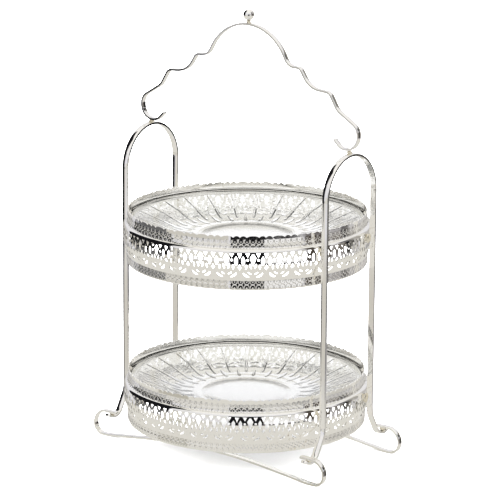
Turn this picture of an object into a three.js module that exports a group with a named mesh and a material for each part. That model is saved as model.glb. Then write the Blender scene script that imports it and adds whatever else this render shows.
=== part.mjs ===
// A two-tier cake stand: two arched legs of half-round strip stand on two curled runners and
// carry two pierced galleries, each holding a loose glass dish, and a scrolled handle joins the
// arches over the top. Millimetres, +Z up, +X to the right through both arches, +Y to the back.
// The origin is on the table under the middle of the stand.

import * as THREE from 'three';

// ---- Driving dimensions ----------------------------------------------------------------------

const STRIP_THICKNESS = 2.6;      // half-round strip of the arches: flat inside, domed outside
const STRIP_WIDTH = 6.0;
const WIRE_THICKNESS = 2.2;       // lighter half-round strip of the handle and the runners
const WIRE_WIDTH = 5.2;
const DOME_EDGE = 0.5;            // height of the square edge under the dome
const CLEARANCE = 0.3;            // gap left between pieces that touch

const ARCH_X = 107.8;             // planes of the two arches
const LEG_Y = 35.8;               // middle of each leg, and radius of the arch over it
const ARCH_TOP_Z = 278.0;         // crown of each arch
const LEG_BEND = { at: [LEG_Y, 40.2], radius: 16 };
const LEG_HOOK = { at: [51.2, 13.6], radius: 11 };
const LEG_TIP = [62.0, 21.4];

const RUNNER_Y = 57.0;            // middle of each runner
const RUNNER_REACH_X = 125.6;     // outermost centre line of the curls
const RUNNER_TOP_Z = 23.2;        // centre line of the tucked-in ends
const RUNNER_END_X = 101.0;
const RUNNER_FLAT_X = 110.0;      // the strip touches the table from here out to the curl
const RUNNER_BOW = { at: [0, 14.5], radius: 555 };
const CURL_TOP_RADIUS = 12.6;
const CURL_FOOT_RADIUS = 9.5;

// Bends of the right half of the handle in X and Z, from the tip of the hook to the crown.
const HANDLE_TIP = [91.4, 288.4];
const HANDLE_BENDS = [
  { at: [99.0, 280.7], radius: 10 },
  { at: [116.2, 280.7], radius: 12.2 },
  { at: [116.2, 300.2], radius: 11 },
  { at: [94.9, 313.3], radius: 14 },
  { at: [86.4, 327.5], radius: 5 },
  { at: [65.2, 330.1], radius: 11 },
  { at: [55.4, 345.1], radius: 4.5 },
  { at: [43.0, 345.8], radius: 7 },
];
const HANDLE_CROWN = { at: [0, 424.2], radius: 44 };

const BALL_RADIUS = 5.0;
const BALL_Z = 384.8;
const COLLAR_RADIUS = 2.3;

const TIER_RIM_Z = { lower: 72.0, upper: 215.2 };   // highest points of the two galleries
const SHEET = 0.9;                // thickness of the gallery's sheet metal

// Outer face of a gallery as [radius, depth below the rim], down to the curled-in lip.
const GALLERY_FACE = [
  [104.0, 0], [104.4, 10.2], [106.4, 11.2], [107.9, 13.2], [108.5, 18.0],
  [107.6, 24.0], [106.1, 30.0], [105.1, 37.0], [105.0, 45.2], [104.0, 46.9],
];
const LIP_RADIUS = 100.5;

// The ledge inside each gallery that carries the flange of the dish.
const LEDGE = { inner: 97.5, outer: 103.1, top: 10.5, bottom: 11.7 };

// Section of a glass dish as [radius, depth below the gallery's rim], top face then underside.
const DISH_SECTION = [
  [0, 22.4], [46.0, 22.4], [95.0, 8.2], [95.8, 7.3], [102.2, 7.0], [102.5, 8.4],
  [102.3, 10.1], [96.3, 10.2], [94.0, 12.2], [50.0, 26.2], [46.0, 28.4],
  [42.0, 28.4], [41.0, 26.2], [0, 26.2],
];

const ROUND_STEPS = 60;           // facets around galleries, ledges and dishes
const BEND_STEP = THREE.MathUtils.degToRad(16);
const LONGEST_CHORD = 24;         // keeps wide, shallow bends smooth

// ---- Materials -------------------------------------------------------------------------------

const silver = () => new THREE.MeshStandardMaterial({ color: 0xe9e6de, roughness: 0.08, metalness: 1 });
const solder = () => new THREE.MeshStandardMaterial({ color: 0xd9d2bd, roughness: 0.3, metalness: 1 });
const glass = () => new THREE.MeshStandardMaterial({
  color: 0xf4f6f4, roughness: 0.05, metalness: 0, transparent: true, opacity: 0.35,
});

// ---- Bent strip ------------------------------------------------------------------------------

// Turns a flat route of corners with bend radii into the points at which the strip is shaped.
function bendPoints(start, corners, end) {
  const points = [new THREE.Vector2(...start)];
  const plan = [{ at: start }, ...corners, { at: end }];
  for (let i = 1; i < plan.length - 1; i += 1) {
    const corner = new THREE.Vector2(...plan[i].at);
    const before = new THREE.Vector2(...plan[i - 1].at).sub(corner).normalize();
    const after = new THREE.Vector2(...plan[i + 1].at).sub(corner).normalize();
    const turn = Math.PI - Math.acos(THREE.MathUtils.clamp(before.dot(after), -1, 1));
    const reach = plan[i].radius / Math.cos(turn / 2);
    const centre = before.clone().add(after).normalize().multiplyScalar(reach).add(corner);
    const first = before.clone().multiplyScalar(plan[i].radius * Math.tan(turn / 2)).add(corner);
    const side = Math.sign(after.cross(before));
    const steps = Math.max(2, Math.ceil(turn / BEND_STEP), Math.ceil((turn * plan[i].radius) / LONGEST_CHORD));
    for (let k = 0; k <= steps; k += 1) {
      const point = first.clone().rotateAround(centre, (side * turn * k) / steps);
      if (point.distanceTo(points[points.length - 1]) > 0.2) points.push(point);
    }
  }
  points.push(new THREE.Vector2(...end));
  return points;
}

// A curve through given points that spaced samples meet exactly, so straight runs stay one facet long.
class StripRoute extends THREE.Curve {
  constructor(points) {
    super();
    this.points = points;
  }

  getPointAt(u, target = new THREE.Vector3()) {
    const place = u * (this.points.length - 1);
    const index = Math.min(Math.floor(place + 1e-6), this.points.length - 2);
    return target.lerpVectors(this.points[index], this.points[index + 1], place - index);
  }

  getPoint(t, target) {
    return this.getPointAt(t, target);
  }

  getTangentAt(u, target = new THREE.Vector3()) {
    const index = Math.round(u * (this.points.length - 1));
    const here = this.points[index];
    target.set(0, 0, 0);
    if (index > 0) target.add(here.clone().sub(this.points[index - 1]).normalize());
    if (index < this.points.length - 1) target.add(this.points[index + 1].clone().sub(here).normalize());
    return target.normalize();
  }
}

// Half-round section: x across the strip, +y towards the domed side.
function halfRound(width, thickness) {
  const low = -thickness / 2;
  const outline = [
    [-width / 2, low], [width / 2, low], [width / 2, low + DOME_EDGE],
    [width * 0.35, thickness * 0.28], [width * 0.14, thickness / 2],
    [-width * 0.14, thickness / 2], [-width * 0.35, thickness * 0.28],
    [-width / 2, low + DOME_EDGE],
  ];
  return new THREE.Shape(outline.map(([x, y]) => new THREE.Vector2(x, y)));
}

function stripGeometry(flatPoints, place, width, thickness) {
  const route = new StripRoute(flatPoints.map(place));
  return new THREE.ExtrudeGeometry(halfRound(width, thickness), {
    steps: flatPoints.length - 1,
    extrudePath: route,
  });
}

const mirrored = ({ at: [across, up], radius }) => ({ at: [-across, up], radius });

// ---- Pieces ----------------------------------------------------------------------------------

const stand = new THREE.Group();

function add(name, geometry, material, position = [0, 0, 0]) {
  const mesh = new THREE.Mesh(geometry, material);
  mesh.name = name;
  mesh.position.set(...position);
  stand.add(mesh);
  return mesh;
}

// Each arch runs from the hooked tip of its front leg, over the top, to the tip of its back leg.
function archGeometry() {
  const topCorner = { at: [LEG_Y, ARCH_TOP_Z - STRIP_THICKNESS / 2], radius: LEG_Y - 0.01 };
  const backHalf = [topCorner, LEG_BEND, LEG_HOOK];
  const frontHalf = backHalf.map(mirrored).reverse();
  const points = bendPoints([-LEG_TIP[0], LEG_TIP[1]], [...frontHalf, ...backHalf], LEG_TIP);
  return stripGeometry(points, (p) => new THREE.Vector3(0, p.x, p.y), STRIP_WIDTH, STRIP_THICKNESS);
}

// Each runner is one strip: both ends curl up and tuck back in over the hooks of the legs.
function runnerGeometry() {
  const footZ = WIRE_THICKNESS / 2;
  const rightHalf = [
    { at: [RUNNER_FLAT_X, footZ], radius: 20 },
    { at: [RUNNER_REACH_X, footZ], radius: CURL_FOOT_RADIUS },
    { at: [RUNNER_REACH_X, RUNNER_TOP_Z], radius: CURL_TOP_RADIUS - 0.01 },
  ];
  const leftHalf = rightHalf.map(mirrored).reverse();
  const tuck = 0.05;   // the tucked-in ends dip by this much
  const end = [RUNNER_END_X, RUNNER_TOP_Z - tuck];
  const points = bendPoints([-end[0], end[1]], [...leftHalf, RUNNER_BOW, ...rightHalf], end);
  return stripGeometry(points, (p) => new THREE.Vector3(p.x, 0, p.y), WIRE_WIDTH, WIRE_THICKNESS);
}

// The handle is bent from right to left, which keeps the domed side of the strip outside.
function handleGeometry() {
  const corners = [...HANDLE_BENDS, HANDLE_CROWN, ...HANDLE_BENDS.map(mirrored).reverse()];
  const points = bendPoints(HANDLE_TIP, corners, [-HANDLE_TIP[0], HANDLE_TIP[1]]);
  return stripGeometry(points, (p) => new THREE.Vector3(p.x, 0, p.y), WIRE_WIDTH, WIRE_THICKNESS);
}

// Turns a closed outline of [radius, depth below the rim] about Z.
function turned(outline) {
  const points = outline.map(([radius, depth]) => new THREE.Vector2(radius, -depth));
  if (outline[0][0] > 0) points.push(points[0].clone());
  points.reverse();
  return new THREE.LatheGeometry(points, ROUND_STEPS).rotateX(Math.PI / 2);
}

function galleryGeometry() {
  const lipDepth = GALLERY_FACE[GALLERY_FACE.length - 1][1];
  const lipUnder = [LIP_RADIUS, lipDepth];
  const lipTop = [LIP_RADIUS, lipDepth - SHEET];
  const inside = GALLERY_FACE.slice(0, -1).map(([radius, depth]) => [radius - SHEET, depth]).reverse();
  const lipCorner = [GALLERY_FACE[GALLERY_FACE.length - 1][0] - SHEET, lipDepth - SHEET];
  return turned([...GALLERY_FACE, lipUnder, lipTop, lipCorner, ...inside]);
}

function ledgeGeometry() {
  return turned([
    [LEDGE.inner, LEDGE.top], [LEDGE.outer, LEDGE.top],
    [LEDGE.outer, LEDGE.bottom], [LEDGE.inner, LEDGE.bottom],
  ]);
}

// A small bead of solder, given by its half sizes.
function beadGeometry(halfX, halfY, halfZ) {
  return new THREE.SphereGeometry(1, 8, 6).scale(halfX, halfY, halfZ);
}

for (const [side, sign] of [['left', -1], ['right', 1]]) {
  add(`${side}_arch`, archGeometry(), silver(), [sign * ARCH_X, 0, 0]);
}

for (const [side, sign] of [['front', -1], ['back', 1]]) {
  add(`${side}_runner`, runnerGeometry(), silver(), [0, sign * RUNNER_Y, 0]);
}

const handle = add('handle', handleGeometry(), silver());

handle.geometry.computeBoundingBox();
const handleTopZ = handle.geometry.boundingBox.max.z;
const collarHeight = BALL_Z - BALL_RADIUS - handleTopZ - 2 * CLEARANCE;
const collar = new THREE.CylinderGeometry(COLLAR_RADIUS, COLLAR_RADIUS, collarHeight, 16);
add('finial_collar', collar.rotateX(Math.PI / 2), silver(), [0, 0, handleTopZ + CLEARANCE + collarHeight / 2]);
add('finial_ball', new THREE.SphereGeometry(BALL_RADIUS, 20, 14).rotateX(Math.PI / 2), silver(), [0, 0, BALL_Z]);

for (const [tier, rimZ] of Object.entries(TIER_RIM_Z)) {
  add(`${tier}_gallery`, galleryGeometry(), silver(), [0, 0, rimZ]);
  add(`${tier}_dish_ledge`, ledgeGeometry(), silver(), [0, 0, rimZ]);
  add(`${tier}_glass_dish`, turned(DISH_SECTION), glass(), [0, 0, rimZ]);
}

// ---- Soldered joints -------------------------------------------------------------------------

const BEAD = 2.2;                          // half length of a bead along the joint
const [BULGE_RADIUS, BULGE_DEPTH] = GALLERY_FACE[4];   // widest part of a gallery, by the legs
const GALLERY_BEAD_HALF_HEIGHT = 4.0;
const RUNNER_BEAD_HALF_HEIGHT = 0.7;

// Between each leg and the bulge of each gallery, at the leg's inner corner.
const cornerX = ARCH_X - STRIP_WIDTH / 2;
const cornerY = LEG_Y - STRIP_THICKNESS / 2;
const cornerRadius = Math.hypot(cornerX, cornerY);
const beadRadius = (BULGE_RADIUS + cornerRadius) / 2;
const beadHalfDepth = (cornerRadius - BULGE_RADIUS) / 2 - CLEARANCE;
const cornerAngle = Math.atan2(cornerY, cornerX);
for (const [tier, rimZ] of Object.entries(TIER_RIM_Z)) {
  for (const [depthSide, signY] of [['front', -1], ['back', 1]]) {
    for (const [side, signX] of [['left', -1], ['right', 1]]) {
      const bead = beadGeometry(beadHalfDepth, BEAD, GALLERY_BEAD_HALF_HEIGHT);
      const mesh = add(`${tier}_gallery_solder_${depthSide}_${side}`, bead, solder(), [
        signX * beadRadius * Math.cos(cornerAngle),
        signY * beadRadius * Math.sin(cornerAngle),
        rimZ - BULGE_DEPTH,
      ]);
      mesh.rotation.z = signX * signY * cornerAngle;
    }
  }
}

// Between the crown of each arch and the hook of the handle that stands on it.
const hookUnderZ = HANDLE_BENDS[0].at[1] - WIRE_THICKNESS / 2;
const archBeadHalfHeight = (hookUnderZ - ARCH_TOP_Z) / 2 - CLEARANCE;
for (const [side, sign] of [['left', -1], ['right', 1]]) {
  add(`handle_solder_${side}`, beadGeometry(BEAD, BEAD, archBeadHalfHeight), solder(),
    [sign * (ARCH_X - 1), 0, (hookUnderZ + ARCH_TOP_Z) / 2]);
}

// Between the hook of each leg and the tucked-in end of the runner that lies in it.
const tuckUnderZ = RUNNER_TOP_Z - WIRE_THICKNESS / 2;
for (const [depthSide, signY] of [['front', -1], ['back', 1]]) {
  for (const [side, signX] of [['left', -1], ['right', 1]]) {
    add(`runner_solder_${depthSide}_${side}`, beadGeometry(BEAD, BEAD, RUNNER_BEAD_HALF_HEIGHT), solder(),
      [signX * ARCH_X, signY * (RUNNER_Y - 1.5), tuckUnderZ - CLEARANCE - RUNNER_BEAD_HALF_HEIGHT]);
  }
}

export default stand;
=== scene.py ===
"""Looks of a two-tier cake stand: half-round silver strip, two pierced and embossed galleries, and
two loose pressed-glass dishes. Sizes are in millimetres until a mesh is made, which is in metres."""

import math

import bmesh
import bpy
import numpy as np
from mathutils import Matrix, Vector, noise
from mathutils.geometry import delaunay_2d_cdt


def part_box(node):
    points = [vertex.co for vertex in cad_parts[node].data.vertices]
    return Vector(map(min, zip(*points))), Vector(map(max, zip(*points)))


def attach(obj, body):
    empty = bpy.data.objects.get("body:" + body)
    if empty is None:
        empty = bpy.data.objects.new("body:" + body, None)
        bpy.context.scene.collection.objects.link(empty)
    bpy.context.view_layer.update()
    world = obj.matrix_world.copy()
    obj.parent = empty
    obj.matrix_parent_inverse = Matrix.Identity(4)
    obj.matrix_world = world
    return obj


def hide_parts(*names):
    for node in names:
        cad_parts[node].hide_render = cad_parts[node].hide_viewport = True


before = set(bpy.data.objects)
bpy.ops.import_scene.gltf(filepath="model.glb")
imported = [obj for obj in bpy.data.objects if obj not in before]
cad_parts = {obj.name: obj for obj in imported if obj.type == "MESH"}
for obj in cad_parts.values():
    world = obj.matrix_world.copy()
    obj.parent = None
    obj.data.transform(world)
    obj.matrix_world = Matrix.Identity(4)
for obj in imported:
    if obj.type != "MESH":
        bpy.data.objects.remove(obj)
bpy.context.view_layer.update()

MM = 0.001
TINY = 1e-6
SAME_PLACE = 1e-4

# ---- Camera ----

CAMERA_AZIMUTH = math.radians(36.75)  # 0 looks along +Y
CAMERA_ELEVATION = math.radians(14.11)
CAMERA_ROLL = math.radians(0.37)
CAMERA_DISTANCE = 2498.4
CAMERA_AIM = (1.87, 1.39, 177.27)
CAMERA_LENS = 206.1
CAMERA_SENSOR = 36
CAMERA_SIGHT = 100  # how far it sees, in metres

# ---- Strip sizes ----

BEND_STEP = math.radians(4)
LONGEST_RUN = 8.0
STRIP_EDGE = 1.8  # height of the square edge under the dome
STRIP_CORNER = 0.22  # radius of the two lower corners
FLAT_CROWN = 0.06  # how far the flat side's edges lean away, in radians
DOME_POINTS = 21
CORNER_POINTS = 5
END_BEVEL = 0.3
END_SHRINK = 0.8  # a strip's end face, as a share of its section
END_SOFTNESS = 0.5  # how far an end face's normals lean out to its sides

ARCH_THICKNESS = 2.6
WIRE_THICKNESS = 2.2
LEG_Y = 35.8
LEG_BEND = ((LEG_Y, 40.2), 16)
LEG_HOOK = ((51.2, 13.6), 11)
LEG_TIP = (62.0, 21.4)
HAIR = 0.01  # left straight between bends that would otherwise touch

RUNNER_TOP_Z = 23.2
RUNNER_END = (101.0, 23.15)
RUNNER_FLAT = (110.0, 20)  # x where a runner comes down to the table, and its bend radius there
RUNNER_BOW = ((0, 14.5), 555)
CURL_TOP_RADIUS = 12.6
CURL_FOOT_RADIUS = 9.5

HANDLE_TIP = (91.4, 288.4)
HANDLE_BENDS = [
    ((99.0, 280.7), 10), ((116.2, 280.7), 12.2), ((116.2, 300.2), 11), ((94.9, 313.3), 14),
    ((86.4, 327.5), 6), ((66.0, 328.8), 20), ((55.4, 345.1), 5), ((43.6, 344.8), 11),
]
HANDLE_CROWN = ((0, 424.2), 44)

# ---- Finial, ledge and solder sizes ----

BALL_ROWS, BALL_SEGMENTS = 33, 48
COLLAR_GAP = 0.3  # how far the collar reaches past its CAD solid, up and down
COLLAR_WAIST = 0.72  # its waist, as a share of its radius
COLLAR_SEGMENTS = 40
LEDGE_INNER_RADIUS = 97.5
LEDGE_ROUNDING = 0.3
LEDGE_SEGMENTS = 180

# How much a run of solder stands proud of its CAD solid, to touch what it joins.
SOLDER_GROW = {"gallery": (0.7, 0.7, 0.2), "handle": (0.4, 0.2, 0.7), "runner": (0.5, 0.2, 0.6)}
SOLDER_SUBDIVISIONS = 4
WOBBLE = 0.22  # how far noise pulls the solder out of round
WOBBLE_SCALE = 1.7
WOBBLE_SHIFT = 0.11  # makes the noise differ from place to place

# ---- Gallery sizes ----

SHEET = 0.9
PERIODS = 30  # repeats of the pierced pattern around a gallery
PERIODS_PER_CELL = 3
MOTIFS_PER_CELL = 13  # repeats of the embossed pattern in the same arc
PATTERN_RADIUS = 106.0  # the pattern is laid out along this circle
COLUMNS_PER_CELL = 24
FACE_STEP, FACE_RUN = math.radians(5), 0.8
ROW_STEP, ROW_TURN = 2.4, math.radians(13)

# Outer face of a gallery as (radius, depth below the rim): corners with bend radii.
FACE_TOP = (104.235, 0.0)
FACE_CORNERS = [
    ((104.16, 3.5), 12), ((104.16, 7.6), 12), ((104.6, 10.7), 0.5), ((108.0, 11.0), 3.2),
    ((108.4, 21.0), 90), ((108.22, 26.9), 9), ((105.15, 37.4), 7), ((105.1, 46.9), 1.5),
]
LIP_END = (100.5, 46.9)

SCALLOP_DEPTH = 1.5
SIDE_START = 2.0  # the sides of a cell have points below the scallops only
WIDE_LOBE = 10.6  # width of the wide lobes; two narrow ones stand between them
WIDE_SHARPNESS, WIDE_POINTS = 3.0, 14
NARROW_SHARPNESS, NARROW_POINTS = 2.2, 8

# The embossing: in each band, a row of upright cups over a row of upside-down ones, with studs.
BANDS = [(3.6, 6.7), (37.8, 7.3)]  # top and height of each embossed band
# A cup's corners as (x, share of the band's height).
CUP = [(-2.08, 0.02), (-2.08, 0.27), (-1.55, 0.44), (0, 0.51), (1.55, 0.44), (2.08, 0.27), (2.08, 0.02)]
CUP_BEND = 0.9
CUP_MIRROR = 0.53  # where a cup turns over, as a share of the band's height
STUDS = [(0.22, 0.5), (0.88, 0.42)]  # place in the band's height, and radius
RELIEF = 0.15
STUD_RELIEF = 1.2  # a stud's height, in straps
STRAP_HALF_WIDTH = 0.24
STRAP_REACH = 4.0  # no part of a strap is farther from its middle
STRAP_LINES = (-1.5, -1, -0.4, 0.4, 1, 1.5)  # lines of mesh points along a strap, in half widths
STUD_RINGS = ((1.3, 8), (1, 8), (0.5, 5))  # rings of mesh points: share of the radius, and count
SLOPE_STEP = 0.03

# Least distances between the mesh points of a gallery, and the least area of its triangles.
EDGE_CLEARANCE = 0.6
RELIEF_CLEARANCE = 0.35
RELIEF_SPACING = 0.12
MERGE_DISTANCE = 1e-5
LEAST_AREA = 1e-9

# ---- Dish sizes ----

FLUTES = 26  # repeats of the pressed pattern around a dish
COLUMNS_PER_FLUTE = 22
COLUMN_CROWDING = 0.35  # how much closer together the columns are at a pressed line

# The dish as (radius, depth below the gallery's rim), from the middle of its top to its foot.
DISH_TOP = (0, 22.4)
DISH_TOP_CORNERS = [((58.5, 22.4), 35), ((84.5, 11.75), 80), ((96.6, 7.15), 5)]
DISH_RIM_CORNERS = [((102.4, 7.05), 0.8), ((101.6, 10.15), 0.8), ((97.2, 10.2), 5)]
DISH_UNDER_CORNERS = [((83.3, 15.3), 60), ((57.5, 26.1), 30)]
DISH_FOOT_CORNERS = [((50.5, 26.2), 8), ((44, 26.6), 12), ((40, 26.6), 12), ((35, 26.2), 12)]
DISH_BASE = (0, 26.2)
DISH_STEP = math.radians(12)
DISH_RUN, DISH_PLAIN_RUN = 1.0, 6.0  # spacing of rows under the dish, and on its plain top
DISH_PLAIN_RADIUS = 40  # inside it the underside is plain too, with every sixth row
PRESSED_FROM = 47.0  # the pattern starts outside this radius

# Raised lines under a dish: half width, height, and the radii between which each end fades in.
THIN_LINE = (1.0, 0.45, (97.0, 94.5), (73.0, 76.0))
THICK_LINE = (1.9, 1.1, (76.5, 74.0), (58.5, 62.0))
SHORT_LINE = (1.5, 0.9, (66.5, 63.0), (48.0, 51.0))
ARC_LINE = (1.0, 0.4)
ARC_RADIUS, ARC_SAG = 72.5, 16
ARC_FADE = (2.2, 3.2)  # distances from a long line between which the arcs fade in
STIPPLE = 0.16  # the most that a stippled panel's points rise or sink
PANEL_FADES = ((73.5, 75.0), (96.5, 95.0), (0.8, 1.4))  # a panel's inner, outer and side edges
STIPPLE_SEED = 7

# Where a kite of each tier's gallery and a long pressed line of its dish stand, in degrees from +X.
TIERS = {"upper": (-50.6, 10.7), "lower": (-51.4, 2.4)}

rng = np.random.default_rng(STIPPLE_SEED)


# ---- Small helpers ----

def unit(v):
    return v / np.linalg.norm(v)


def unit_rows(rows):
    return rows / np.linalg.norm(rows, axis=1, keepdims=True)


def sideways(rows):
    """Flat vectors turned a quarter anticlockwise."""
    return np.stack([-rows[:, 1], rows[:, 0]], 1)


def turned(v, angle):
    """A flat vector turned anticlockwise."""
    c, s = math.cos(angle), math.sin(angle)
    return np.array([c * v[0] - s * v[1], s * v[0] + c * v[1]])


def mirrored(corners):
    """The same corners with the first coordinate negated, in reverse order."""
    return [((-at[0], at[1]), radius) for at, radius in reversed(corners)]


def bend_route(start, corners, end, step=BEND_STEP, longest=LONGEST_RUN):
    """Points of a flat route of corners with bend radii, and the unit direction at each."""
    stops = [np.array(p, float) for p in (start, *[at for at, _ in corners], end)]
    points, directions = [stops[0]], [unit(stops[1] - stops[0])]

    def run_to(point, direction):
        first = points[-1]
        length = np.linalg.norm(point - first)
        count = math.ceil(length / longest) if length > SAME_PLACE else 0
        for k in range(1, count + 1):
            points.append(first + (point - first) * k / count)
            directions.append(direction)

    for (_, radius), before, corner, after in zip(corners, stops, stops[1:], stops[2:]):
        arrive, leave = unit(corner - before), unit(after - corner)
        turn = math.atan2(arrive[0] * leave[1] - arrive[1] * leave[0], arrive @ leave)
        side = math.copysign(1, turn)
        first = corner - arrive * radius * math.tan(abs(turn) / 2)
        run_to(first, arrive)
        centre = first + radius * side * turned(arrive, math.pi / 2)
        steps = max(2, math.ceil(abs(turn) / step), math.ceil(abs(turn) * radius / longest))
        for k in range(1, steps + 1):
            direction = turned(arrive, turn * k / steps)
            points.append(centre - radius * side * turned(direction, math.pi / 2))
            directions.append(direction)
    run_to(stops[-1], directions[-1])
    return np.array(points), np.array(directions)


def signed_volume(points, faces):
    total = 0.0
    for face in faces:
        a = points[face[0]]
        for b, c in zip(face[1:], face[2:]):
            total += a @ np.cross(points[b], points[c])
    return total / 6


def facing_out(points, faces):
    """The faces of a closed shape, turned over if they face in."""
    if signed_volume(points, faces) < 0:
        return [face[::-1] for face in faces]
    return faces


def link_new(name, data):
    made = bpy.data.objects.new(name, data)
    bpy.context.scene.collection.objects.link(made)
    return made


def make_piece(name, cad_node, points, faces, material, body="stand",
               normals=None, corner_normals=None):
    """A closed mesh piece from points in millimetres. Normals are per point or per face corner."""
    mesh = bpy.data.meshes.new(name)
    mesh.from_pydata((np.asarray(points) * MM).tolist(), [], faces)
    mesh.materials.append(material)
    mesh.polygons.foreach_set("use_smooth", [True] * len(mesh.polygons))
    if normals is not None:
        mesh.normals_split_custom_set_from_vertices(np.asarray(normals).tolist())
    if corner_normals is not None:
        mesh.normals_split_custom_set(np.asarray(corner_normals).tolist())
    piece = link_new(name, mesh)
    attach(piece, body)
    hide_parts(cad_node)


def box_mm(cad_node):
    low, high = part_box(cad_node)
    return np.array(low) / MM, np.array(high) / MM


# ---- Node materials ----
# Noise scales are in cycles to the metre, and bump heights in metres.

NOISE_LOW, NOISE_HIGH = 0.3, 0.7  # nearly all of a noise lies between them
CLOUD_SCALE = 38.0
WIPE_SCALE = 160.0
WAVE_SCALE = 70.0
SCRATCH_SCALE = (900.0, 900.0, 5200.0)
SCRATCH_HEIGHT = 0.000004
SKIN_SCALE = 420.0
SKIN_HEIGHT = 0.00006
TINT_SCALE = 25.0


def node(tree, kind, inputs=None, **settings):
    """Adds a shader node. An input is a value, or another node's socket to link from."""
    made = tree.nodes.new("ShaderNode" + kind)
    for key, value in settings.items():
        setattr(made, key, value)
    for key, value in (inputs or {}).items():
        if isinstance(value, bpy.types.NodeSocket):
            tree.links.new(value, made.inputs[key])
        else:
            made.inputs[key].default_value = value
    return made


def new_material(name):
    """An empty node material, its tree, and the socket of places on the object."""
    material = bpy.data.materials.new(name)
    material.use_nodes = True
    tree = material.node_tree
    tree.nodes.clear()
    return material, tree, node(tree, "TexCoord").outputs["Object"]


def add_surface(tree, inputs):
    shader = node(tree, "BsdfPrincipled", inputs)
    node(tree, "OutputMaterial", {"Surface": shader.outputs["BSDF"]})


def noise_at(tree, place, scale, detail, **more):
    """Noise as a socket. More can set its other inputs, such as Roughness."""
    inputs = {"Vector": place, "Scale": scale, "Detail": detail, **more}
    return node(tree, "TexNoise", inputs).outputs["Fac"]


def remap(tree, socket, low, high, to_low, to_high):
    return node(tree, "MapRange", {
        "Value": socket, "From Min": low, "From Max": high, "To Min": to_low, "To Max": to_high,
    }).outputs["Result"]


def colours(tree, socket, stops):
    """A colour ramp with (place, rgb) stops."""
    ramp = node(tree, "ValToRGB", {"Fac": socket})
    while len(ramp.color_ramp.elements) < len(stops):
        ramp.color_ramp.elements.new(0.5)
    for element, (place, rgb) in zip(ramp.color_ramp.elements, stops):
        element.position = place
        element.color = (*rgb, 1)
    return ramp.outputs["Color"]


def silver_material(name, bright, warm, rough_low, rough_high, wave_height):
    """Polished silver plate: clouded by handling, very finely scratched, and a little uneven."""
    material, tree, place = new_material(name)
    clouds = noise_at(tree, place, CLOUD_SCALE, 5.0, Roughness=0.6)
    wipes = noise_at(tree, place, WIPE_SCALE, 8.0, Roughness=0.7)
    waves = noise_at(tree, place, WAVE_SCALE, 1.0)
    stretched = node(tree, "Mapping", {"Vector": place, "Scale": SCRATCH_SCALE}).outputs["Vector"]
    scratches = noise_at(tree, stretched, 1.0, 2.0)
    low_bump = node(tree, "Bump", {"Height": waves, "Strength": 1.0, "Distance": wave_height})
    bump = node(tree, "Bump", {
        "Height": scratches, "Normal": low_bump.outputs["Normal"],
        "Strength": 0.25, "Distance": SCRATCH_HEIGHT,
    })
    add_surface(tree, {
        "Base Color": colours(tree, clouds, [(0.35, warm), (0.65, bright)]),
        "Metallic": 1.0,
        "Roughness": remap(tree, wipes, NOISE_LOW, NOISE_HIGH, rough_low, rough_high),
        "Normal": bump.outputs["Normal"],
    })
    return material


def glass_material(name, green, clear):
    """Clear pressed glass with the faint orange-peel skin that the mould leaves."""
    material, tree, place = new_material(name)
    skin = noise_at(tree, place, SKIN_SCALE, 3.0)
    tint = noise_at(tree, place, TINT_SCALE, 2.0)
    bump = node(tree, "Bump", {"Height": skin, "Strength": 0.35, "Distance": SKIN_HEIGHT})
    add_surface(tree, {
        "Base Color": colours(tree, tint, [(NOISE_LOW, green), (NOISE_HIGH, clear)]),
        "Roughness": remap(tree, skin, NOISE_LOW, NOISE_HIGH, 0.02, 0.08),
        "IOR": 1.5,
        "Transmission Weight": 1.0,
        "Normal": bump.outputs["Normal"],
    })
    return material


STRIP_SILVER = silver_material("strip_silver", (0.93, 0.92, 0.90), (0.91, 0.895, 0.86),
                               0.02, 0.06, 0.00002)
SHEET_SILVER = silver_material("sheet_silver", (0.92, 0.91, 0.885), (0.90, 0.885, 0.85),
                               0.02, 0.06, 0.00003)
SOLDER = silver_material("silver_solder", (0.86, 0.82, 0.72), (0.78, 0.72, 0.58),
                         0.16, 0.34, 0.00020)
GLASS = glass_material("pressed_glass", (0.975, 0.985, 0.975), (0.99, 0.99, 0.985))


# ---- Half-round strip ----

def half_round(width, thickness):
    """Outline of a half-round strip as (across, out), with its normals: domed above, flat below."""
    half, low = width / 2, -thickness / 2
    rise = thickness - STRIP_EDGE
    outline, normals = [], []
    for angle in np.linspace(0, math.pi, DOME_POINTS):
        outline.append((half * math.cos(angle), low + STRIP_EDGE + rise * math.sin(angle)))
        normals.append(unit(np.array([math.cos(angle) / half, math.sin(angle) / rise])))
    down = 1.5 * math.pi
    for side, start, end in ((-1, math.pi, down - FLAT_CROWN), (1, down + FLAT_CROWN, 2 * math.pi)):
        centre = np.array([side * (half - STRIP_CORNER), low + STRIP_CORNER])
        for angle in np.linspace(start, end, CORNER_POINTS):
            direction = np.array([math.cos(angle), math.sin(angle)])
            outline.append(centre + STRIP_CORNER * direction)
            normals.append(direction)
    return np.array(outline), np.array(normals)


def tube_faces(count, size):
    """Faces of a closed tube made of count rings, each of size points."""
    faces = []
    for i in range(count - 1):
        for k in range(size):
            a, b = i * size + k, i * size + (k + 1) % size
            faces.append((a, b, b + size, a + size))
    faces.append(tuple(range(size))[::-1])
    faces.append(tuple(range((count - 1) * size, count * size)))
    return faces


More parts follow.
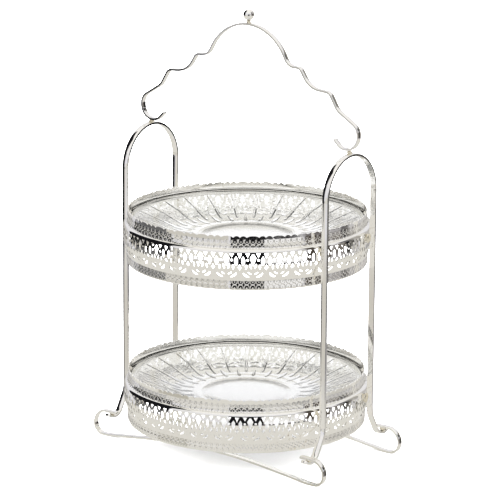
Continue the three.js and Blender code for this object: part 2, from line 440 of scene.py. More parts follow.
def strip_piece(cad_node, route, origin, along, across, width, thickness):
    """Carries the half-round section along a route in the plane of along and Z. The dome is on the
    right of the route's direction, seen with along to the right and Z up."""
    section, section_normals = half_round(width, thickness)
    points, directions = route
    origin, along, across = (np.array(v, float) for v in (origin, along, across))
    up = np.array([0.0, 0.0, 1.0])
    rings, normals = [], []

    def add_ring(index, scale=1.0, push=0.0, face=0):
        """The section at a point of the route. Face is -1 or 1 at the edge of an end face."""
        point, direction = points[index], directions[index]
        ahead = along * direction[0] + up * direction[1]
        out = along * direction[1] - up * direction[0]
        centre = origin + along * point[0] + up * point[1] + ahead * push
        rings.append(centre + scale * (section[:, :1] * across + section[:, 1:] * out))
        outward = section_normals[:, :1] * across + section_normals[:, 1:] * out
        normals.append(unit_rows(END_SOFTNESS * outward + face * ahead) if face else outward)

    add_ring(0, scale=END_SHRINK, face=-1)
    add_ring(0, push=END_BEVEL)
    for index in range(1, len(points) - 1):
        add_ring(index)
    add_ring(-1, push=-END_BEVEL)
    add_ring(-1, scale=END_SHRINK, face=1)
    made = np.concatenate(rings)
    faces = facing_out(made, tube_faces(len(rings), len(section)))
    make_piece(f"{cad_node}_strip", cad_node, made, faces, STRIP_SILVER,
               normals=np.concatenate(normals))


def build_arches():
    low, high = box_mm("left_arch")
    width = high[0] - low[0]
    top = ((LEG_Y, high[2] - ARCH_THICKNESS / 2), LEG_Y - HAIR)
    rise = [LEG_HOOK, LEG_BEND, top]
    route = bend_route(LEG_TIP, [*rise, *mirrored(rise)], (-LEG_TIP[0], LEG_TIP[1]))
    for arch in ("left_arch", "right_arch"):
        low, high = box_mm(arch)
        middle = (low[0] + high[0]) / 2
        strip_piece(arch, route, (middle, 0, 0), (0, 1, 0), (1, 0, 0), width, ARCH_THICKNESS)


def build_runners(width):
    low, high = box_mm("front_runner")
    foot = WIRE_THICKNESS / 2
    reach = high[0] - foot
    flat, bend = RUNNER_FLAT
    right = [((flat, foot), bend), ((reach, foot), CURL_FOOT_RADIUS),
             ((reach, RUNNER_TOP_Z), CURL_TOP_RADIUS - HAIR)]
    left_end = (-RUNNER_END[0], RUNNER_END[1])
    route = bend_route(left_end, [*mirrored(right), RUNNER_BOW, *right], RUNNER_END)
    for runner in ("front_runner", "back_runner"):
        low, high = box_mm(runner)
        middle = (low[1] + high[1]) / 2
        strip_piece(runner, route, (0, middle, 0), (1, 0, 0), (0, 1, 0), width, WIRE_THICKNESS)


def build_handle(width):
    corners = [*HANDLE_BENDS, HANDLE_CROWN, *mirrored(HANDLE_BENDS)]
    route = bend_route(HANDLE_TIP, corners, (-HANDLE_TIP[0], HANDLE_TIP[1]))
    strip_piece("handle", route, (0, 0, 0), (1, 0, 0), (0, 1, 0), width, WIRE_THICKNESS)


def build_strips():
    low, high = box_mm("front_runner")
    wire_width = high[1] - low[1]
    build_arches()
    build_runners(wire_width)
    build_handle(wire_width)


# ---- Turned pieces ----

def turned_piece(name, cad_node, outline, segments, material, centre_z=0.0):
    """Turns a route of (radius, height) about Z; its ends are on the axis or it closes on itself."""
    points, directions = outline
    closes = points[0][0] > TINY
    angles = np.arange(segments) * 2 * math.pi / segments
    rows = [i for i in range(len(points)) if points[i][0] > TINY]
    made, normals, faces = [], [], []
    for i in rows:
        radius, height = points[i]
        out, up = directions[i][1], -directions[i][0]
        for a in angles:
            made.append((radius * math.cos(a), radius * math.sin(a), height + centre_z))
            normals.append((out * math.cos(a), out * math.sin(a), up))
    links = [(i, i + 1) for i in range(len(rows) - 1)]
    if closes:
        links.append((len(rows) - 1, 0))
    for i, j in links:
        for k in range(segments):
            n = (k + 1) % segments
            faces.append((i * segments + k, i * segments + n, j * segments + n, j * segments + k))
    if not closes:
        cap_turned(made, normals, faces, points[:, 1] + centre_z, segments)
    made = np.array(made)
    make_piece(name, cad_node, made, facing_out(made, faces), material, normals=normals)


def cap_turned(made, normals, faces, heights, segments):
    """Closes both ends of a turned shape with fans round a point on the axis."""
    last_ring = len(made) - segments
    for ring, height in ((0, heights[0]), (last_ring, heights[-1])):
        tip = len(made)
        made.append((0, 0, height))
        normals.append((0, 0, np.sign(height - heights[len(heights) // 2])))
        for k in range(segments):
            face = (ring + k, ring + (k + 1) % segments, tip)
            faces.append(face if ring else face[::-1])


def build_finial():
    low, high = box_mm("finial_ball")
    radius, middle = (high[2] - low[2]) / 2, (high[2] + low[2]) / 2
    angles = np.linspace(-math.pi / 2, math.pi / 2, BALL_ROWS)
    points = np.array([(radius * math.cos(a), radius * math.sin(a)) for a in angles])
    directions = np.array([(-math.sin(a), math.cos(a)) for a in angles])
    turned_piece("finial_ball_polished", "finial_ball", (points, directions), BALL_SEGMENTS,
                 STRIP_SILVER, middle)

    low, high = box_mm("finial_collar")
    radius, bottom, top = high[0], low[2] - COLLAR_GAP, high[2] + COLLAR_GAP
    waist = (radius * COLLAR_WAIST, (bottom + top) / 2)
    neck = [((radius, bottom), 0.15), (waist, 0.4), ((radius, top), 0.15)]
    outline = bend_route((0, bottom), neck, (0, top), step=math.radians(15), longest=0.6)
    turned_piece("finial_collar_turned", "finial_collar", outline, COLLAR_SEGMENTS, SOLDER)


def build_ledges():
    for tier in TIERS:
        low, high = box_mm(f"{tier}_dish_ledge")
        inner, outer = LEDGE_INNER_RADIUS, high[0]
        square = [(outer, low[2]), (outer, high[2]), (inner, high[2]), (inner, low[2])]
        middle = ((inner + outer) / 2, low[2])
        points, directions = bend_route(middle, [(corner, LEDGE_ROUNDING) for corner in square], middle,
                                        step=math.radians(30), longest=3)
        turned_piece(f"{tier}_dish_ledge_ring", f"{tier}_dish_ledge", (points[:-1], directions[:-1]),
                     LEDGE_SEGMENTS, SHEET_SILVER)


# ---- Solder ----

def solder_run(cad_node, grow):
    """A wiped run of solder: a smooth blob pulled out of round by slow noise."""
    low, high = box_mm(cad_node)
    middle, half = (low + high) / 2, (high - low) / 2 + np.array(grow)
    shape = bmesh.new()
    bmesh.ops.create_icosphere(shape, subdivisions=SOLDER_SUBDIVISIONS, radius=1.0)
    for vert in shape.verts:
        direction = vert.co.normalized()
        wobble = 1 + WOBBLE * noise.noise(direction * WOBBLE_SCALE + Vector(middle) * WOBBLE_SHIFT)
        vert.co = Vector([direction[i] * half[i] * wobble for i in range(3)])
    points = np.array([vert.co for vert in shape.verts]) + middle
    faces = [tuple(v.index for v in f.verts) for f in shape.faces]
    shape.free()
    make_piece(f"{cad_node}_run", cad_node, points, faces, SOLDER)


def build_solder():
    for cad_node in sorted(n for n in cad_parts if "_solder_" in n):
        grow = next(size for place, size in SOLDER_GROW.items() if place in cad_node)
        solder_run(cad_node, grow)


# ---- Gallery pattern ----
# The pattern is laid out flat as (around, depth) in one cell, which repeats around the gallery.

CELL_COUNT = PERIODS // PERIODS_PER_CELL
CELL = 2 * math.pi * PATTERN_RADIUS / CELL_COUNT
PERIOD = CELL / PERIODS_PER_CELL
MOTIF = CELL / MOTIFS_PER_CELL


def outline_route(start, corners, end, radius):
    """A route with rounded corners, coarse enough for the edge of a small opening."""
    rounded = [(corner, radius) for corner in corners]
    points, _ = bend_route(start, rounded, end, step=math.radians(40), longest=CELL)
    return points


def softened(corners, radius=0.35):
    """A closed outline with its corners rounded."""
    middle = (np.array(corners[0]) + np.array(corners[-1])) / 2
    return outline_route(middle, corners, middle, radius)[:-1]


def half_outline(corners, radius=0.35):
    """The right half of an outline that is symmetric about its axis, from its top to its bottom."""
    return outline_route(corners[0], corners[1:-1], corners[-1], radius)


def both_halves(half):
    return np.concatenate([half, (half * (-1, 1))[-2:0:-1]])


def leaf(start, bend, end, half_width):
    """A pointed leaf along a quadratic curve."""
    t = np.linspace(0, 1, 8)[:, None]
    start, bend, end = (np.array(p, float) for p in (start, bend, end))
    spine = (1 - t) ** 2 * start + 2 * t * (1 - t) * bend + t ** 2 * end
    ahead = unit_rows(2 * (1 - t) * (bend - start) + 2 * t * (end - bend))
    side = sideways(ahead) * half_width * np.sin(math.pi * t) ** 0.7
    return np.concatenate([spine + side, (spine - side)[-2:0:-1]])


def circle(radius, count):
    angles = np.arange(count) * 2 * math.pi / count
    return radius * np.stack([np.cos(angles), np.sin(angles)], 1)


KITE = half_outline([(0, 14.7), (0.7, 14.7), (2.6, 17.9), (1.2, 22.2), (0, 24.9)])
OVAL = both_halves(half_outline([(0, 16.4), (1.5, 18.9), (1.45, 22.0), (0.6, 24.3), (0, 24.3)], 0.5))
DOT = circle(1.12, 10)
SIDE_GAP = both_halves(half_outline([(0, 13.9), (2.0, 13.9), (1.0, 15.6), (0, 17.5)], 0.3))
SLIT = softened([(-0.75, 24.4), (0, 23.2), (0.75, 24.4), (0.75, 26.6), (0, 28.8), (-0.75, 26.6)])
LEAN_SLIT = softened([(1.75, 23.4), (2.5, 22.4), (3.2, 23.6), (2.5, 26.2), (1.2, 28.3), (1.1, 25.7)])
OUTER_LEAF = leaf((8.3, 30.8), (6.9, 34.5), (2.5, 35.0), 1.0)
INNER_LEAF = leaf((4.4, 30.0), (3.1, 32.0), (0.9, 32.4), 0.68)
BETWEEN_GAP = half_outline([(0, 13.9), (2.0, 13.9), (0.9, 16.4), (0, 18.6)], 0.3)
TULIP = half_outline([(0, 23.0), (0.55, 24.8), (1.8, 26.4), (0.6, 27.3), (0, 28.9)], 0.3)

DOT_AT = (4.46, 19.7)
OVAL_AT = 8.15
SLIT_AT = 5.7


def pierced_outlines():
    """Closed outlines of the openings in one cell, and the right halves of those that its sides cut."""
    one_side = [DOT + DOT_AT, OVAL + (OVAL_AT, 0), SIDE_GAP + (DOT_AT[0], 0), SLIT + (SLIT_AT, 0),
                LEAN_SLIT, OUTER_LEAF, INNER_LEAF]
    closed = []
    for k in range(PERIODS_PER_CELL):
        middle = np.array([(k - (PERIODS_PER_CELL - 1) / 2) * PERIOD, 0])
        closed.append(both_halves(KITE) + middle)
        for side in (-1, 1):
            closed += [shape * (side, 1) + middle for shape in one_side]
        if k:
            edge = middle - (PERIOD / 2, 0)
            closed += [both_halves(BETWEEN_GAP) + edge, both_halves(TULIP) + edge]
    return closed, [BETWEEN_GAP, TULIP]


def scallop_edge():
    """The top edge of one cell: in each period, a wide lobe between two narrow ones."""
    narrow = ((PERIOD - WIDE_LOBE) / 2, NARROW_SHARPNESS, NARROW_POINTS)
    wide = (WIDE_LOBE, WIDE_SHARPNESS, WIDE_POINTS)
    points = []
    for k in range(PERIODS_PER_CELL):
        start = -CELL / 2 + k * PERIOD
        for width, sharpness, count in (narrow, wide, narrow):
            for x in np.linspace(-1, 1, count + 1)[:-1]:
                points.append((start + (x + 1) / 2 * width, SCALLOP_DEPTH * abs(x) ** sharpness))
            start += width
    points.append((CELL / 2, SCALLOP_DEPTH))
    return np.array(points)


def raised_pattern():
    """Centre lines of the raised straps of one cell, and its studs as (centre, radius)."""
    straps, studs = [], []
    for top, height in BANDS:
        cup = [(x, top + share * height) for x, share in CUP]
        bends = [(corner, CUP_BEND) for corner in cup[1:-1]]
        strap, _ = bend_route(cup[0], bends, cup[-1], step=math.radians(30), longest=1.6)
        turned_over = strap * (1, -1) + (0, 2 * top + 2 * CUP_MIRROR * height)
        for k in range(MOTIFS_PER_CELL):
            x = (k + 0.5) * MOTIF - CELL / 2
            straps += [strap + (x, 0), turned_over + (x, 0)]
            studs += [(np.array((x, top + share * height)), radius) for share, radius in STUDS]
    return straps, studs


def dome(share):
    return np.clip(1 - share ** 2, 0, 1)


def distance_to_line(points, line):
    """Distance of each point from a line of straight pieces."""
    start, run = line[:-1], np.diff(line, axis=0)
    t = np.clip(((points[:, None] - start) * run).sum(2) / (run * run).sum(1), 0, 1)
    return np.linalg.norm(points[:, None] - (start + t[..., None] * run), axis=2).min(1)


def relief_height(points, straps, studs):
    """How far the embossing stands proud at flat points."""
    height = np.zeros(len(points))
    for strap in straps:
        near = (np.abs(points - strap.mean(0)) < STRAP_REACH).all(1)
        if near.any():
            share = distance_to_line(points[near], strap) / STRAP_HALF_WIDTH
            height[near] = np.maximum(height[near], dome(share) * RELIEF)
    for centre, radius in studs:
        share = np.linalg.norm(points - centre, axis=1) / radius
        height = np.maximum(height, dome(share) * RELIEF * STUD_RELIEF)
    return height


def relief_points(straps, studs):
    """Mesh points that carry the embossing: lines along each strap and rings on each stud."""
    points = []
    for strap in straps:
        side = sideways(unit_rows(np.gradient(strap, axis=0)))
        points += [strap + share * STRAP_HALF_WIDTH * side for share in STRAP_LINES]
    for centre, radius in studs:
        points += [centre + circle(share * radius, count) for share, count in STUD_RINGS]
        points.append(centre[None])
    return thinned(np.concatenate(points), RELIEF_SPACING)


def thinned(points, gap):
    """Drops points that share a small square with an earlier one."""
    _, first = np.unique(np.round(points / gap).astype(int), axis=0, return_index=True)
    return points[np.sort(first)]


def clear_of(points, others, gap):
    """The points that are farther than gap from all the others."""
    return points[(np.linalg.norm(points[:, None] - others, axis=2) > gap).all(1)]


# ---- Gallery mesh ----

class Face:
    """The curve of a gallery from its top edge to the end of its lip, by distance along it."""

    def __init__(self):
        self.points, self.directions = bend_route(FACE_TOP, FACE_CORNERS, LIP_END, FACE_STEP, FACE_RUN)
        steps = np.linalg.norm(np.diff(self.points, axis=0), axis=1)
        self.along = np.concatenate([[0], np.cumsum(steps)])

    def unrolled(self, shape):
        """A shape drawn as (around, depth), as (around, distance along the face)."""
        wall = self.points[:, 1] < LIP_END[1] - HAIR
        along = np.interp(shape[:, 1], self.points[wall, 1], self.along[wall])
        return np.stack([shape[:, 0], along], 1)

    def rows(self):
        """Distances along the face that follow its curve closely enough for a mesh."""
        picked = [0]
        for i in range(1, len(self.along)):
            turn = math.acos(min(1, self.directions[i] @ self.directions[picked[-1]]))
            if turn > ROW_TURN or self.along[i] - self.along[picked[-1]] > ROW_STEP:
                picked.append(i)
        return self.along[picked[1:]]

    def wrapped(self, flat, turn):
        """Places in space of flat points, with the directions around, down and out of the face."""
        radius, depth = (np.interp(flat[:, 1], self.along, self.points[:, i]) for i in (0, 1))
        widen, sink = (np.interp(flat[:, 1], self.along, self.directions[:, i]) for i in (0, 1))
        angle = turn + flat[:, 0] / PATTERN_RADIUS
        cos, sin = np.cos(angle), np.sin(angle)
        place = np.stack([radius * cos, radius * sin, -depth], 1)
        around = np.stack([-sin, cos, np.zeros(len(flat))], 1)
        down = unit_rows(np.stack([widen * cos, widen * sin, -sink], 1))
        return place, around, down, np.cross(down, around)


def inside(points, outline):
    """Which points lie inside a closed flat outline."""
    x, y = points[:, 0], points[:, 1]
    hit = np.zeros(len(points), bool)
    for (x0, y0), (x1, y1) in zip(outline, np.roll(outline, -1, 0)):
        if y0 != y1:
            hit ^= ((y0 > y) != (y1 > y)) & (x < (x1 - x0) * (y - y0) / (y1 - y0) + x0)
    return hit


def triangulated(loops, extra):
    """All points, loop by loop and then the extra ones, and the triangles, anticlockwise, that lie
    inside the first loop and outside the others."""
    points = np.concatenate([*loops, extra])
    edges, start = [], 0
    for loop in loops:
        count = len(loop)
        edges += [(start + k, start + (k + 1) % count) for k in range(count)]
        start += count
    flat = [Vector(p) for p in points]
    _, _, faces, sources, _, _ = delaunay_2d_cdt(flat, edges, [], 0, MERGE_DISTANCE)
    number = np.array([source[0] for source in sources])
    triangles = number[np.array(faces)]
    centres = points[triangles].mean(1)
    keep = inside(centres, loops[0])
    for loop in loops[1:]:
        keep &= ~inside(centres, loop)
    triangles = triangles[keep]
    a, b, c = (points[triangles[:, i]] for i in range(3))
    area = (b - a)[:, 0] * (c - a)[:, 1] - (b - a)[:, 1] * (c - a)[:, 0]
    triangles[area < 0] = triangles[area < 0][:, ::-1]
    return points, triangles[abs(area) > LEAST_AREA]


def free_edges(triangles):
    """Directed edges that only one triangle has."""
    edges = np.concatenate([triangles[:, [0, 1]], triangles[:, [1, 2]], triangles[:, [2, 0]]])
    size = triangles.max() + 1
    forward, backward = edges[:, 0] * size + edges[:, 1], edges[:, 1] * size + edges[:, 0]
    return edges[~np.isin(forward, backward)]


def side_line(side, rows, halves):
    """One side of a cell, from top to bottom, going round the openings that it cuts in half."""
    parts = [half * (-side, 1) + (side * CELL / 2, 0) for half in halves]
    for row in rows[:-1]:
        cut = any(half[0, 1] - EDGE_CLEARANCE < row < half[-1, 1] + EDGE_CLEARANCE for half in halves)
        if row > SIDE_START and not cut:
            parts.append(np.array([(side * CELL / 2, row)]))
    return np.concatenate(sorted(parts, key=lambda part: part[0, 1]))


def cell_rim(columns, rows, halves, lip_end):
    """The outline of a cell: scalloped top, right side, end of the lip, left side."""
    bottom = np.stack([columns, np.full(len(columns), lip_end)], 1)
    right, left = side_line(1, rows, halves), side_line(-1, rows, halves)
    return np.concatenate([scallop_edge(), right, bottom[::-1], left[::-1]])


def grid_points(columns, rows, rim, holes):
    """Points of a plain grid that keep clear of the rim and the holes."""
    grid = np.stack(np.meshgrid(columns[1:-1], rows[:-1]), -1).reshape(-1, 2)
    grid = clear_of(grid[inside(grid, rim)], np.concatenate([rim, *holes]), EDGE_CLEARANCE)
    for hole in holes:
        grid = grid[~inside(grid, hole)]
    return grid


class Cell:
    """One flat repeat of a gallery, with its outer triangles embossed and its inner ones plain."""

    def __init__(self, face):
        closed, halves = pierced_outlines()
        holes = [face.unrolled(shape) for shape in closed]
        halves = [face.unrolled(half) for half in halves]
        columns, rows = np.linspace(-CELL / 2, CELL / 2, COLUMNS_PER_CELL + 1), face.rows()
        rim = cell_rim(columns, rows, halves, face.along[-1])
        grid = grid_points(columns, rows, rim, holes)
        straps, studs = raised_pattern()
        self.straps = [face.unrolled(strap) for strap in straps]
        self.studs = [(face.unrolled(centre[None])[0], radius) for centre, radius in studs]
        relief = relief_points(self.straps, self.studs)
        embossed = np.concatenate([relief, clear_of(grid, relief, RELIEF_CLEARANCE)])
        self.outer, self.outer_triangles = triangulated([rim, *holes], embossed)
        self.inner, self.inner_triangles = triangulated([rim, *holes], grid)

    def wall_edges(self):
        """Edges of the rim and the holes, without those where the next cell joins on."""
        edges = free_edges(self.outer_triangles)
        on_side = abs(abs(self.outer[edges][..., 0]) - CELL / 2) < TINY
        return edges[~on_side.all(1)]

    def height(self, flat):
        return relief_height(flat, self.straps, self.studs)

    def slope(self, nudge):
        """How steeply the embossing rises along a small nudge, at each outer point."""
        rise = self.height(self.outer + nudge) - self.height(self.outer - nudge)
        return (rise / (2 * SLOPE_STEP))[:, None]


def twins(points):
    """For each point on a cell's right side, the point on its left side in the same row, else -1."""
    twin = np.full(len(points), -1)
    left = {round(s, 5): i for i, (u, s) in enumerate(points) if abs(u + CELL / 2) < TINY}
    for i, (u, s) in enumerate(points):
        if abs(u - CELL / 2) < TINY:
            twin[i] = left[round(s, 5)]
    return twin


def gallery_points(face, cell, turn):
    """Points and normals of a gallery, cell by cell, with the outer points of each cell first."""
    height = cell.height(cell.outer)[:, None]
    slope_around, slope_down = cell.slope((SLOPE_STEP, 0)), cell.slope((0, SLOPE_STEP))
    points, normals = [], []
    for k in range(CELL_COUNT):
        angle = turn + k * CELL / PATTERN_RADIUS
        place, around, down, out = face.wrapped(cell.outer, angle)
        points.append(place + out * height)
        normals.append(unit_rows(out - slope_around * around - slope_down * down))
        place, around, down, out = face.wrapped(cell.inner, angle)
        points.append(place - out * SHEET)
        normals.append(-out)
    return np.concatenate(points), np.concatenate(normals)


def gallery_faces(cell):
    """Triangles of both sides of a gallery's sheet, and quads that join them at every edge."""
    outer_count = len(cell.outer)
    inner_twins = twins(cell.inner)
    inner_twins[inner_twins >= 0] += outer_count
    twin = np.concatenate([twins(cell.outer), inner_twins])
    stride = len(twin)
    a, b = cell.wall_edges().T
    walls = np.stack([a, b, b + outer_count, a + outer_count], 1)
    triangles, quads = [], []
    for k in range(CELL_COUNT):
        following = (k + 1) % CELL_COUNT
        number = np.where(twin >= 0, following * stride + twin, k * stride + np.arange(stride))
        triangles.append(number[cell.outer_triangles[:, ::-1]])
        triangles.append(number[cell.inner_triangles + outer_count])
        quads.append(number[walls])
    return np.concatenate(triangles), np.concatenate(quads)


def build_gallery(tier, face, cell, turn):
    points, normals = gallery_points(face, cell, turn)
    triangles, quads = gallery_faces(cell)
    a, b, c, d = (points[quads[:, i]] for i in range(4))
    wall_normals = np.repeat(unit_rows(np.cross(c - a, d - b)), 4, axis=0)
    corner_normals = np.concatenate([normals[triangles.ravel()], wall_normals])
    used, renumbered = np.unique(np.concatenate([triangles.ravel(), quads.ravel()]), return_inverse=True)
    split = triangles.size
    faces = renumbered[:split].reshape(-1, 3).tolist() + renumbered[split:].reshape(-1, 4).tolist()
    rim = box_mm(f"{tier}_gallery")[1][2]
    make_piece(f"{tier}_gallery_pierced_sheet", f"{tier}_gallery", points[used] + (0, 0, rim), faces,
               SHEET_SILVER, corner_normals=corner_normals)


# ---- Pressed-glass dishes ----

def ramp(value, start, full):
    return np.clip((value - start) / (full - start), 0, 1)


def ridge(gap, half_width, height):
    """A V-shaped ridge, seen across it."""
    return height * np.clip(1 - np.abs(gap) / half_width, 0, 1)


def pressed_line(gap, radius, half_width, height, outer_fade, inner_fade):
    """A ridge that runs towards the middle of the dish and fades out at both ends."""
    return ridge(gap, half_width, height) * ramp(radius, *outer_fade) * ramp(radius, *inner_fade)


def pressed_relief(radius, share, stipple):
    """How far the pattern under a dish stands proud, where share is the distance in flutes from a
    long line."""
    flute = 2 * math.pi * radius / FLUTES
    from_long = share * flute
    from_short = (0.5 - np.abs(share)) * flute
    thin = pressed_line(from_long, radius, *THIN_LINE)
    thick = pressed_line(from_long, radius, *THICK_LINE)
    short = pressed_line(from_short, radius, *SHORT_LINE)
    arc_radius = ARC_RADIUS - ARC_SAG * (from_short / flute) ** 2
    arcs = ridge(radius - arc_radius, *ARC_LINE) * ramp(np.abs(from_long), *ARC_FADE)
    inner, outer, sides = PANEL_FADES
    panel = ramp(radius, *inner) * ramp(radius, *outer) * ramp(np.abs(from_long), *sides)
    return np.maximum.reduce([thin, thick, short, arcs]) - STIPPLE * stipple * panel


def dish_section():
    """Points and directions of the dish's outline, with fine rows only where it is patterned."""
    corners = [*DISH_TOP_CORNERS, *DISH_RIM_CORNERS, *DISH_UNDER_CORNERS, *DISH_FOOT_CORNERS]
    section, directions = bend_route(DISH_TOP, corners, DISH_BASE, DISH_STEP, DISH_RUN)
    top_corners = [*DISH_TOP_CORNERS, DISH_RIM_CORNERS[0]]
    coarse, _ = bend_route(DISH_TOP, top_corners, DISH_RIM_CORNERS[1][0], DISH_STEP, DISH_PLAIN_RUN)
    coarse = coarse[:np.argmax(coarse[:, 0])]
    on_top = [np.argmin(np.linalg.norm(section - point, axis=1)) for point in coarse]
    under = np.arange(len(section)) >= np.argmax(section[:, 0])
    plain = under & (section[:, 0] < DISH_PLAIN_RADIUS)
    on_foot = [*np.flatnonzero(plain)[::6], len(section) - 1]
    rows = np.unique([*on_top, *np.flatnonzero(under & ~plain), *on_foot])
    return section[rows], directions[rows]


def fan_faces(tip, ring, reverse=False):
    """Triangles from a point to each edge of a closed ring of points."""
    pairs = zip(ring, np.roll(ring, -1))
    return [(tip, j, i) if reverse else (tip, i, j) for i, j in pairs]


def build_dish(tier, turn):
    section, directions = dish_section()
    count = FLUTES * COLUMNS_PER_FLUTE
    even = np.arange(count) / COLUMNS_PER_FLUTE
    flutes = even - COLUMN_CROWDING / (4 * math.pi) * np.sin(4 * math.pi * even)
    share = (flutes + 0.5) % 1 - 0.5
    angle = turn + flutes * 2 * math.pi / FLUTES

    radius, depth = section[:, :1], section[:, 1:]
    out, up = directions[:, 1:], directions[:, :1]
    pressed = (up < 0) & (radius > PRESSED_FROM)
    stipple = rng.uniform(-1, 1, (len(section), count))
    relief = np.where(pressed, pressed_relief(np.maximum(radius, 1), share[None], stipple), 0)
    off_axis = section[:, 0] > TINY
    reach, level = (radius + relief * out)[off_axis], (relief * up - depth)[off_axis]
    points = np.stack([reach * np.cos(angle), reach * np.sin(angle), level], -1).reshape(-1, 3)
    tips = [(0, 0, -section[0, 1]), (0, 0, -section[-1, 1])]

    column = np.arange(count)
    following = (column + 1) % count
    band = np.stack([column, column + count, following + count, following], 1)
    faces = []
    for i in range(len(reach) - 1):
        faces += (band + i * count).tolist()
    faces += fan_faces(len(points), column)
    faces += fan_faces(len(points) + 1, len(points) - count + column, reverse=True)
    height = box_mm(f"{tier}_gallery")[1][2]
    points = np.concatenate([points, tips]) + (0, 0, height)
    make_piece(f"{tier}_pressed_dish", f"{tier}_glass_dish", points, faces, GLASS, f"{tier}_dish")


# ---- Camera and floor ----

def set_camera():
    azimuth, elevation = CAMERA_AZIMUTH, CAMERA_ELEVATION
    back = Vector((math.sin(azimuth) * math.cos(elevation), -math.cos(azimuth) * math.cos(elevation),
                   math.sin(elevation)))
    right = Vector((math.cos(azimuth), math.sin(azimuth), 0))
    up = back.cross(right)
    c, s = math.cos(CAMERA_ROLL), math.sin(CAMERA_ROLL)
    axes = (right * c + up * s, up * c - right * s, back)
    data = bpy.data.cameras.new("camera")
    data.lens = CAMERA_LENS
    data.sensor_width = CAMERA_SENSOR
    data.clip_end = CAMERA_SIGHT
    camera = link_new("camera", data)
    place = (Vector(CAMERA_AIM) + back * CAMERA_DISTANCE) * MM
    camera.matrix_world = Matrix.Translation(place) @ Matrix(axes).transposed().to_4x4()
    bpy.context.scene.camera = camera


FLOOR_REACH = 9  # from its middle to each side, in metres
PAPER_GRAIN_SCALE = 300.0  # cycles to the metre
PAPER_LOW = (0.84, 0.84, 0.84)
PAPER_HIGH = (0.85, 0.85, 0.85)
PAPER_BOUNCE = (0.17, 0.17, 0.172)  # the paper as everything but the camera sees it


def build_floor():
    material, tree, place = new_material("floor_paper")
    grain = noise_at(tree, place, PAPER_GRAIN_SCALE, 2.0)
    paper = colours(tree, grain, [(0.4, PAPER_LOW), (0.6, PAPER_HIGH)])
    seen = node(tree, "LightPath").outputs["Is Camera Ray"]
    add_surface(tree, {
        "Base Color": mixed(tree, seen, PAPER_BOUNCE, paper),
        "Roughness": 1.0,
        "Specular IOR Level": 0.0,
    })
    mesh = bpy.data.meshes.new("floor")
    corners = [(-1, -1), (1, -1), (1, 1), (-1, 1)]
    mesh.from_pydata([(x * FLOOR_REACH, y * FLOOR_REACH, 0) for x, y in corners], [], [(0, 1, 2, 3)])
    mesh.materials.append(material)
    floor = link_new("floor", mesh)
    floor.visible_glossy = False      # silver sees the table of the studio world instead


# ---- Studio ----
# The room that the silver mirrors, as patches of the world. Their azimuths are measured from the
# camera's side, towards its right.

WARM_TOP = (1.0, 0.985, 0.955)
COOL_WALL = (0.82, 0.82, 0.87)
WALL_TOP, CEILING = 5.0, 60.0  # elevations between which the wall turns into the ceiling
TABLE = (0.77, 0.755, 0.71)
TABLE_SHADE = (0.52, 0.50, 0.44)
TABLE_FAR = (0.64, 0.62, 0.57)
LEFT_LOW = (0.72, 0.70, 0.64)
LEFT_HIGH = (0.50, 0.49, 0.47)
BEHIND = (0.50, 0.48, 0.44)
SIDE_GREY = (0.42, 0.40, 0.37)
DUSK = (0.20, 0.18, 0.165)
SMOKE = (0.16, 0.16, 0.16)
LINTEL = (0.16, 0.15, 0.14)
BROWN = (0.075, 0.062, 0.052)
DARK = (0.010, 0.010, 0.012)
WINDOW = (0.95, 0.95, 0.96)
WINDOW_PANE = (0.78, 0.77, 0.73)
LEFT_PANE = (0.76, 0.75, 0.71)

# Patches as (azimuths, elevations, soft edge, colour), in degrees, each over the ones before.
ROOM = [
    ((-185, 185), (-95, -17.1), 0.3, TABLE),
    ((-95, -58), (-20, -18.2), 0.3, TABLE_SHADE),
    ((140, 200), (-17, 5), 14, BEHIND),
    ((-200, -145), (-17, 5), 14, BEHIND),
    ((-128, -84), (-17, -14.4), 1, SMOKE),
    ((-138, -77), (-14.6, 60), 1.5, DARK),
    ((-90, -74.3), (-12.8, 24), 1.5, DARK),
    ((56, 84), (-16.8, 46), 3, BROWN),
    ((84, 112), (-16.4, 10), 8, DUSK),
    ((101, 114), (-15.6, 10), 3, DARK),
    ((96, 124), (13, 29), 4, DARK),
    ((112, 140), (-16, 30), 14, SIDE_GREY),
    ((16, 54), (-15.9, 2), 0.8, WINDOW),
    ((16, 54), (-12.8, 2), 2, WINDOW_PANE),
    ((-64, -16), (-12.8, 2), 2, LEFT_PANE),
    ((14, 64), (2, 9), 3, LINTEL),
    ((12, 56), (-17.1, -15.9), 0.3, DARK),
    ((-16, 16), (-17.1, 12), 0.3, DARK),
    ((-84, -18), (-17, -14.2), 0.8, TABLE_FAR),
    ((-74, -64), (-14.6, -12), 1, LEFT_LOW),
    ((-74, -64), (-11.8, -7), 1, LEFT_HIGH),
]

# The world as the other kinds of ray meet it.
INDOORS = (0.88, 0.87, 0.84)  # after more bounces than DEEP
DEEP = 2.5
THROUGH_GLASS = (1.12, 1.11, 1.10)
STUDIO_LIGHT = (9.0, 9.0, 9.0)  # on matt surfaces
BACKDROP = (1.0, 1.0, 1.0)  # straight from the camera


def maths(tree, operation, first, second=0.0):
    return node(tree, "Math", {0: first, 1: second}, operation=operation).outputs[0]


def between(tree, value, low, high, soft):
    """One between low and high, in degrees, falling to nothing over a soft edge."""
    rise = remap(tree, value, low - soft / 2, low + soft / 2, 0.0, 1.0)
    fall = remap(tree, value, high - soft / 2, high + soft / 2, 1.0, 0.0)
    return maths(tree, "MULTIPLY", rise, fall)


def mixed(tree, share, below, above):
    """One colour over another, each as rgb or as a socket."""
    mix = node(tree, "MixRGB", {"Fac": share})
    for key, value in (("Color1", below), ("Color2", above)):
        if isinstance(value, tuple):
            mix.inputs[key].default_value = (*value, 1)
        else:
            tree.links.new(value, mix.inputs[key])
    return mix.outputs["Color"]


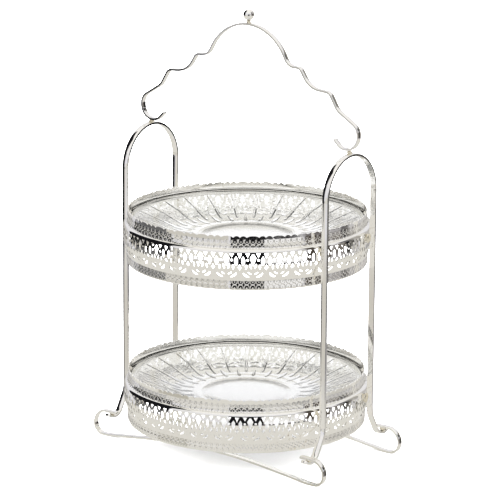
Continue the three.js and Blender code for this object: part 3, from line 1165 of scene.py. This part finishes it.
def world_angles(tree):
    """Azimuth from the camera's side and elevation of each direction, as sockets in degrees."""
    direction = node(tree, "TexCoord").outputs["Generated"]

    def part(axis):
        product = node(tree, "VectorMath", {0: direction, 1: axis}, operation="DOT_PRODUCT")
        return product.outputs["Value"]

    toward = part((math.sin(CAMERA_AZIMUTH), -math.cos(CAMERA_AZIMUTH), 0))
    rightward = part((math.cos(CAMERA_AZIMUTH), math.sin(CAMERA_AZIMUTH), 0))
    azimuth = maths(tree, "ARCTAN2", rightward, toward)
    elevation = maths(tree, "ARCSINE", part((0, 0, 1)))
    degrees = math.degrees(1)
    return maths(tree, "MULTIPLY", azimuth, degrees), maths(tree, "MULTIPLY", elevation, degrees)


def room_colour(tree):
    azimuth, elevation = world_angles(tree)
    colour = mixed(tree, remap(tree, elevation, WALL_TOP, CEILING, 0.0, 1.0), COOL_WALL, WARM_TOP)
    for (left, right), (low, high), soft, patch in ROOM:
        across = between(tree, azimuth, left, right, soft)
        upward = between(tree, elevation, low, high, soft)
        colour = mixed(tree, maths(tree, "MULTIPLY", across, upward), colour, patch)
    return colour


def build_world():
    world = bpy.data.worlds.new("studio")
    bpy.context.scene.world = world
    world.use_nodes = True
    tree = world.node_tree
    tree.nodes.clear()
    path = node(tree, "LightPath")
    deep = maths(tree, "GREATER_THAN", path.outputs["Ray Depth"], DEEP)
    colour = mixed(tree, deep, room_colour(tree), INDOORS)
    colour = mixed(tree, path.outputs["Is Transmission Ray"], colour, THROUGH_GLASS)
    colour = mixed(tree, path.outputs["Is Diffuse Ray"], colour, STUDIO_LIGHT)
    colour = mixed(tree, path.outputs["Is Camera Ray"], colour, BACKDROP)
    background = node(tree, "Background", {"Color": colour})
    node(tree, "OutputWorld", {"Surface": background.outputs["Background"]})
    bpy.context.scene.view_settings.view_transform = "Standard"


# ---- The whole stand ----

def build_all():
    set_camera()
    build_world()
    build_floor()
    build_strips()
    build_finial()
    build_ledges()
    build_solder()
    face = Face()
    cell = Cell(face)
    for tier, (kite_turn, line_turn) in TIERS.items():
        build_gallery(tier, face, cell, math.radians(kite_turn))
        build_dish(tier, math.radians(line_turn))


build_all()
